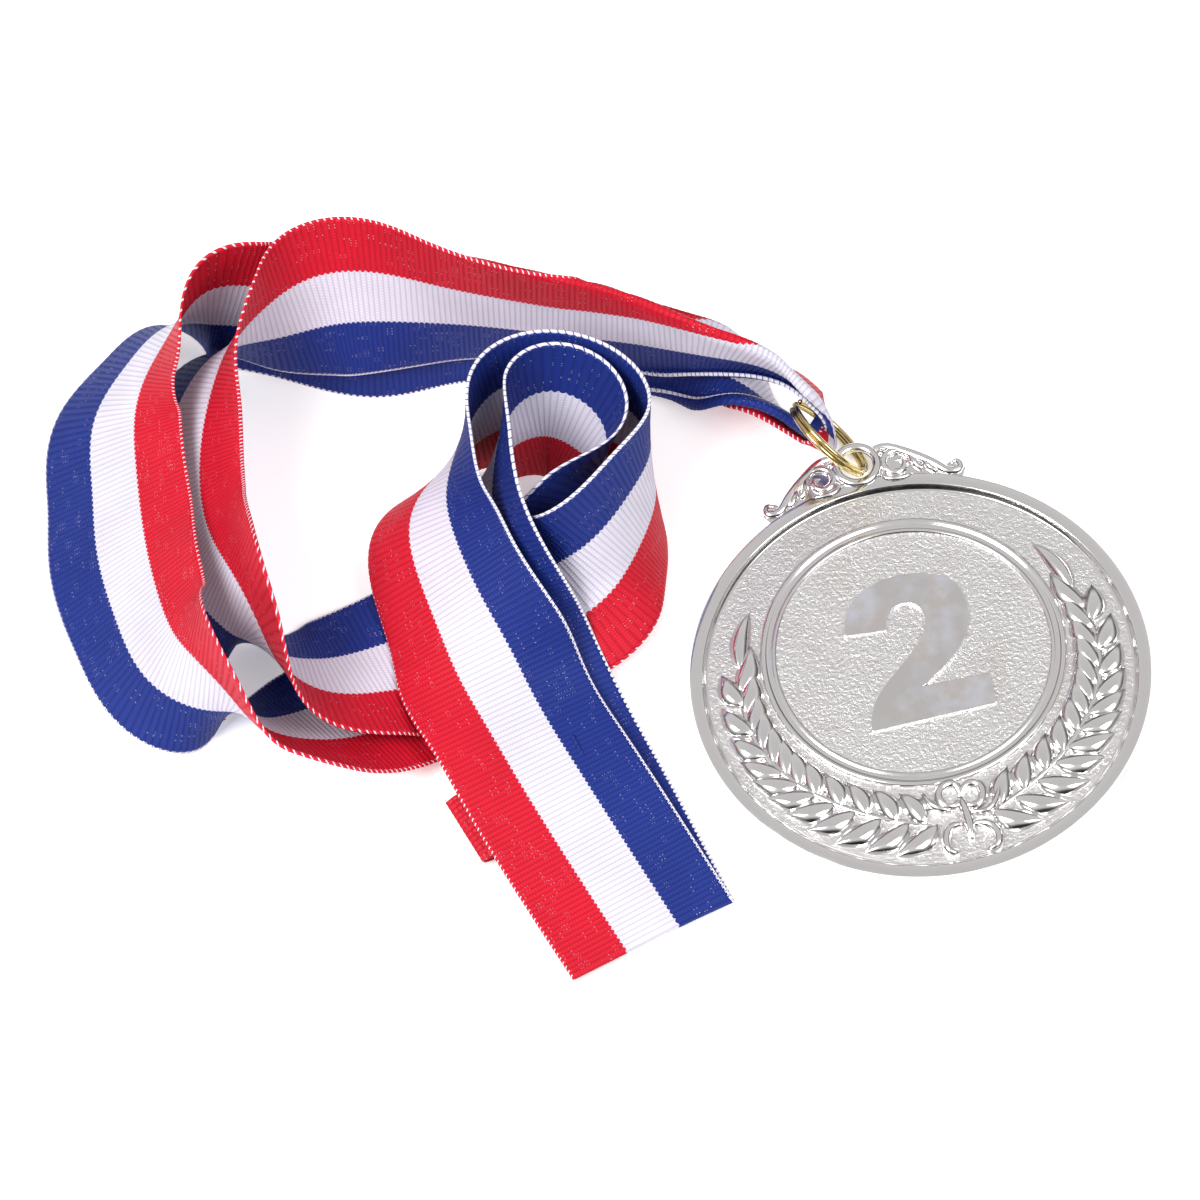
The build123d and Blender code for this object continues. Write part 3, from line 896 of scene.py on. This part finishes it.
def build_camera():
    ahead = Vector((0.0804, 0.4855, -0.8705)).normalized()
    level = Vector((0.9866, -0.1633, 0.0))
    upward = level.cross(ahead)
    tilt = math.radians(-5.57)
    right = level * math.cos(tilt) + upward * math.sin(tilt)
    top = upward * math.cos(tilt) - level * math.sin(tilt)
    lens = bpy.data.cameras.new("camera")
    lens.lens = 339.3
    lens.sensor_width = 36.0
    lens.clip_start = 0.1
    lens.clip_end = 20.0
    camera = bpy.data.objects.new("camera", lens)
    turn = Matrix((right, top, -ahead)).transposed().to_4x4()
    camera.matrix_world = Matrix.Translation(Vector((-168.9, -751.9, 1392.8)) * MM) @ turn
    bpy.context.scene.collection.objects.link(camera)
    bpy.context.scene.camera = camera


def build_floor():
    s = Shader("studio_floor")
    white = s.finish(
        Base_Color=(0.92, 0.92, 0.92, 1),
        Roughness=0.9,
        Specular_IOR_Level=0.0,
        Emission_Color=(1, 1, 1, 1),
        Emission_Strength=0.35,
    )
    size, level = 4000.0, -0.02
    corners = [(-size, -size, level), (size, -size, level), (size, size, level), (-size, size, level)]
    make_object("studio_floor", corners, [(0, 1, 2, 3)], white, smooth=False)


def build_lights():
    """A pale tent: bright overhead, darker near the horizon, and a dark gap behind the camera."""
    world = bpy.data.worlds.new("studio")
    world.use_nodes = True
    bpy.context.scene.world = world
    nodes, links = world.node_tree.nodes, world.node_tree.links
    place = nodes.new("ShaderNodeTexCoord")
    parts = nodes.new("ShaderNodeSeparateXYZ")
    links.new(place.outputs["Generated"], parts.inputs[0])
    height = nodes.new("ShaderNodeValToRGB")
    stops = [(0.0, 0.04), (0.15, 0.08), (0.38, 0.3), (0.58, 0.74), (0.8, 0.66), (1.0, 0.62)]
    ramp = height.color_ramp
    while len(ramp.elements) < len(stops):
        ramp.elements.new(0.5)
    for element, (position, value) in zip(ramp.elements, stops):
        element.position = position
        element.color = (value, value * 0.985, value * 0.985, 1)
    links.new(parts.outputs[2], height.inputs[0])
    gap = nodes.new("ShaderNodeVectorMath")
    gap.operation = "DOT_PRODUCT"
    gap.inputs[1].default_value = (-0.12, -0.97, 0.2)
    links.new(place.outputs["Generated"], gap.inputs[0])
    dim = nodes.new("ShaderNodeMapRange")
    for i, number in ((1, 0.80), (2, 0.93), (3, 1.0), (4, 0.06)):
        dim.inputs[i].default_value = number
    links.new(gap.outputs["Value"], dim.inputs[0])
    shade = nodes.new("ShaderNodeMix")
    shade.data_type = "RGBA"
    shade.blend_type = "MULTIPLY"
    shade.inputs["Factor"].default_value = 1.0
    links.new(height.outputs[0], shade.inputs[6])
    links.new(dim.outputs[0], shade.inputs[7])
    back = nodes["Background"]
    links.new(shade.outputs[2], back.inputs["Color"])
    back.inputs["Strength"].default_value = 1.0
    lamps = [
        ("key_light", (-900, -300, 1300), 700, 24.0),
        ("fill_light", (700, -700, 1200), 800, 12.0),
    ]
    for name, place, size, power in lamps:
        lamp = bpy.data.lights.new(name, "AREA")
        lamp.energy = power
        lamp.size = size * MM
        holder = bpy.data.objects.new(name, lamp)
        holder.location = Vector(place) * MM
        aim = Vector((-40, 25, 0)) * MM - holder.location
        holder.rotation_mode = "QUATERNION"
        holder.rotation_quaternion = aim.to_track_quat("-Z", "Y")
        holder.visible_camera = False
        bpy.context.scene.collection.objects.link(holder)
    bpy.context.scene.view_settings.view_transform = "Standard"


def write_size():
    bpy.context.view_layer.update()


build_camera()
build_floor()
build_lights()
build_ring()
build_ribbon()
build_medal()
write_size()
